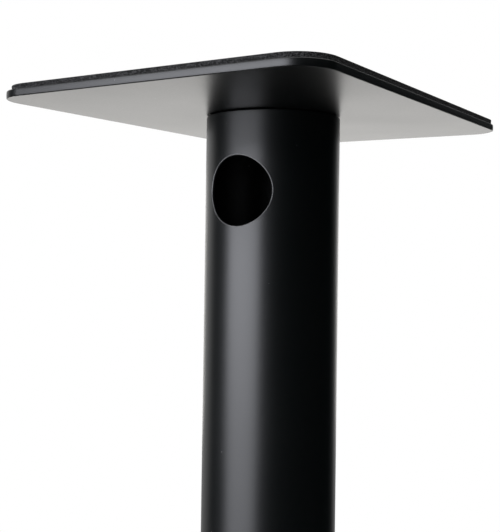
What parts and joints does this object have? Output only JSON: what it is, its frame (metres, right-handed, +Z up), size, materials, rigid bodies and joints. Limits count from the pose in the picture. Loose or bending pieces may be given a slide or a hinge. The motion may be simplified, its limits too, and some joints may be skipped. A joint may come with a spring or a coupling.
{
  "type": "speaker stand",
  "caption": "Floor stand for a bookshelf loudspeaker: flat padded top plate on a round tubular column with rear cable holes, on a heavier base plate with levelling spikes.",
  "frame": {"origin": "on the floor, under the column's axis, at the bottom centre of the stand", "axes": "+Z up; -Y is the front and +Y the rear, where the cable holes are; X runs across"},
  "size_m": [0.26, 0.32, 0.6],
  "materials": {
    "black_powder_coat": "satin black powder coat, fine orange peel",
    "foam_pad": "matt black closed-cell foam, die cut",
    "bare_steel": "bare mild steel, inside the column",
    "black_oxide_steel": "black oxide socket screws",
    "zinc_steel": "bright zinc plate",
    "spike_steel": "turned and nickel plated",
    "shoe_steel": "turned and nickel plated"
  },
  "bodies": {
    "stand": {"top_pad": "foam_pad", "top_plate": "black_powder_coat", "upper_end_disc": "bare_steel", "column_tube": "black_powder_coat", "lower_end_disc": "bare_steel", "base_plate": "black_powder_coat", "top_screw_1": "black_oxide_steel", "top_screw_2": "black_oxide_steel", "top_screw_3": "black_oxide_steel", "top_screw_4": "black_oxide_steel", "base_screw_1": "black_oxide_steel", "base_screw_2": "black_oxide_steel", "base_screw_3": "black_oxide_steel", "base_screw_4": "black_oxide_steel"},
    "floor_shoe_1": {"floor_shoe_1": "shoe_steel"},
    "spike_1": {"spike_1": "spike_steel"},
    "spike_washer_1": {"spike_washer_1": "zinc_steel"},
    "lock_nut_1": {"lock_nut_1": "zinc_steel"},
    "floor_shoe_2": {"floor_shoe_2": "shoe_steel"},
    "spike_2": {"spike_2": "spike_steel"},
    "spike_washer_2": {"spike_washer_2": "zinc_steel"},
    "lock_nut_2": {"lock_nut_2": "zinc_steel"},
    "floor_shoe_3": {"floor_shoe_3": "shoe_steel"},
    "spike_3": {"spike_3": "spike_steel"},
    "spike_washer_3": {"spike_washer_3": "zinc_steel"},
    "lock_nut_3": {"lock_nut_3": "zinc_steel"},
    "floor_shoe_4": {"floor_shoe_4": "shoe_steel"},
    "spike_4": {"spike_4": "spike_steel"},
    "spike_washer_4": {"spike_washer_4": "zinc_steel"},
    "lock_nut_4": {"lock_nut_4": "zinc_steel"}
  },
  "joints": [
    {"name": "spike_level_1", "type": "slide", "parent": "stand", "child": "floor_shoe_1", "axis": [0, 0, -1], "range_m": [-0.0025, 0.0025]},
    {"name": "spike_turn_1", "type": "hinge", "parent": "floor_shoe_1", "child": "spike_1", "pos_m": [-0.104, -0.134, 0], "axis": [0, 0, -1], "range_deg": [-720, 720]},
    {"name": "lock_nut_travel_1", "type": "slide", "parent": "stand", "child": "spike_washer_1", "axis": [0, 0, -1], "range_m": [0, 0.00187]},
    {"name": "lock_nut_turn_1", "type": "hinge", "parent": "spike_washer_1", "child": "lock_nut_1", "pos_m": [-0.104, -0.134, 0], "axis": [0, 0, -1], "range_deg": [0, 540]},
    {"name": "spike_level_2", "type": "slide", "parent": "stand", "child": "floor_shoe_2", "axis": [0, 0, -1], "range_m": [-0.0025, 0.0025]},
    {"name": "spike_turn_2", "type": "hinge", "parent": "floor_shoe_2", "child": "spike_2", "pos_m": [0.104, -0.134, 0], "axis": [0, 0, -1], "range_deg": [-720, 720]},
    {"name": "lock_nut_travel_2", "type": "slide", "parent": "stand", "child": "spike_washer_2", "axis": [0, 0, -1], "range_m": [0, 0.00187]},
    {"name": "lock_nut_turn_2", "type": "hinge", "parent": "spike_washer_2", "child": "lock_nut_2", "pos_m": [0.104, -0.134, 0], "axis": [0, 0, -1], "range_deg": [0, 540]},
    {"name": "spike_level_3", "type": "slide", "parent": "stand", "child": "floor_shoe_3", "axis": [0, 0, -1], "range_m": [-0.0025, 0.0025]},
    {"name": "spike_turn_3", "type": "hinge", "parent": "floor_shoe_3", "child": "spike_3", "pos_m": [0.104, 0.134, 0], "axis": [0, 0, -1], "range_deg": [-720, 720]},
    {"name": "lock_nut_travel_3", "type": "slide", "parent": "stand", "child": "spike_washer_3", "axis": [0, 0, -1], "range_m": [0, 0.00187]},
    {"name": "lock_nut_turn_3", "type": "hinge", "parent": "spike_washer_3", "child": "lock_nut_3", "pos_m": [0.104, 0.134, 0], "axis": [0, 0, -1], "range_deg": [0, 540]},
    {"name": "spike_level_4", "type": "slide", "parent": "stand", "child": "floor_shoe_4", "axis": [0, 0, -1], "range_m": [-0.0025, 0.0025]},
    {"name": "spike_turn_4", "type": "hinge", "parent": "floor_shoe_4", "child": "spike_4", "pos_m": [-0.104, 0.134, 0], "axis": [0, 0, -1], "range_deg": [-720, 720]},
    {"name": "lock_nut_travel_4", "type": "slide", "parent": "stand", "child": "spike_washer_4", "axis": [0, 0, -1], "range_m": [0, 0.00187]},
    {"name": "lock_nut_turn_4", "type": "hinge", "parent": "spike_washer_4", "child": "lock_nut_4", "pos_m": [-0.104, 0.134, 0], "axis": [0, 0, -1], "range_deg": [0, 540]}
  ],
  "couplings": [
    {"joint": "spike_turn_1", "follows": "spike_level_1", "rad_per_m": 5026.5},
    {"joint": "lock_nut_turn_1", "follows": "lock_nut_travel_1", "rad_per_m": 5026.5},
    {"joint": "spike_turn_2", "follows": "spike_level_2", "rad_per_m": 5026.5},
    {"joint": "lock_nut_turn_2", "follows": "lock_nut_travel_2", "rad_per_m": 5026.5},
    {"joint": "spike_turn_3", "follows": "spike_level_3", "rad_per_m": 5026.5},
    {"joint": "lock_nut_turn_3", "follows": "lock_nut_travel_3", "rad_per_m": 5026.5},
    {"joint": "spike_turn_4", "follows": "spike_level_4", "rad_per_m": 5026.5},
    {"joint": "lock_nut_turn_4", "follows": "lock_nut_travel_4", "rad_per_m": 5026.5}
  ]
}
